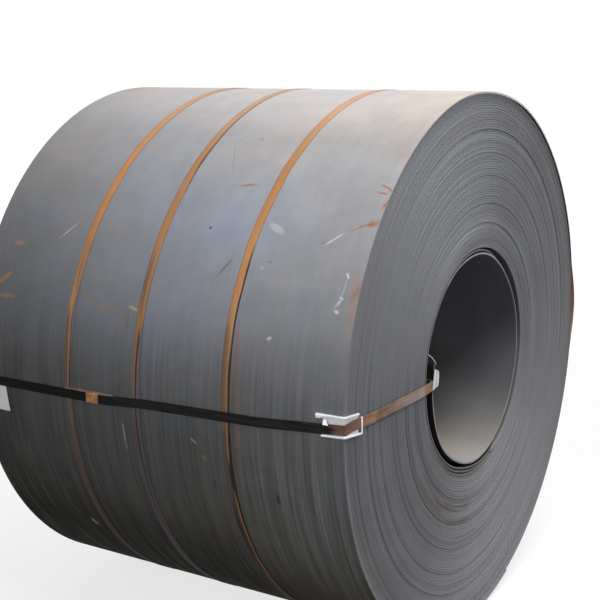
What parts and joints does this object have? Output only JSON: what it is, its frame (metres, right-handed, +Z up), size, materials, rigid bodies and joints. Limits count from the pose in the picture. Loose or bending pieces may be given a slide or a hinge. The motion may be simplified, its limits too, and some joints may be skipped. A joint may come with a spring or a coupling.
{
  "type": "steel coil",
  "caption": "Hot-rolled steel strip wound into a coil lying with its eye level, held by rusty belly bands and a band through the eye over sheet edge protectors.",
  "frame": {"origin": "middle of the underside of the box round the coil, on the floor that it lies on", "axes": "+X along the coil's axis towards the end shown, +Z up, the eye band on the -Y side"},
  "size_m": [1.5146, 1.955, 1.9254],
  "materials": {
    "steel": "dull blue-grey mill scale with fine drawn streaks, rust scratches and dark laps on the ends",
    "rusty_strap": "steel strap rusted to a matt orange brown",
    "black_strap": "black painted steel strap, satin, browned by rust on the end faces",
    "rusty_seal": "crimped strap seal, rusty brown and matt",
    "zinc_sheet": "bright galvanised sheet, slightly spangled",
    "label": "blank white card, matt"
  },
  "bodies": {
    "root": {"coil": "steel", "belly_band_front": "rusty_strap", "belly_band_middle": "rusty_strap", "belly_band_back": "rusty_strap", "eye_band": "black_strap", "eye_band_seal": "rusty_seal", "belly_seal_front": "rusty_seal", "belly_seal_middle": "rusty_seal", "belly_seal_back": "rusty_seal", "outer_guard_front": "zinc_sheet", "outer_guard_back": "zinc_sheet", "eye_guard_front": "zinc_sheet", "eye_guard_back": "zinc_sheet", "label": "label"}
  },
  "joints": []
}
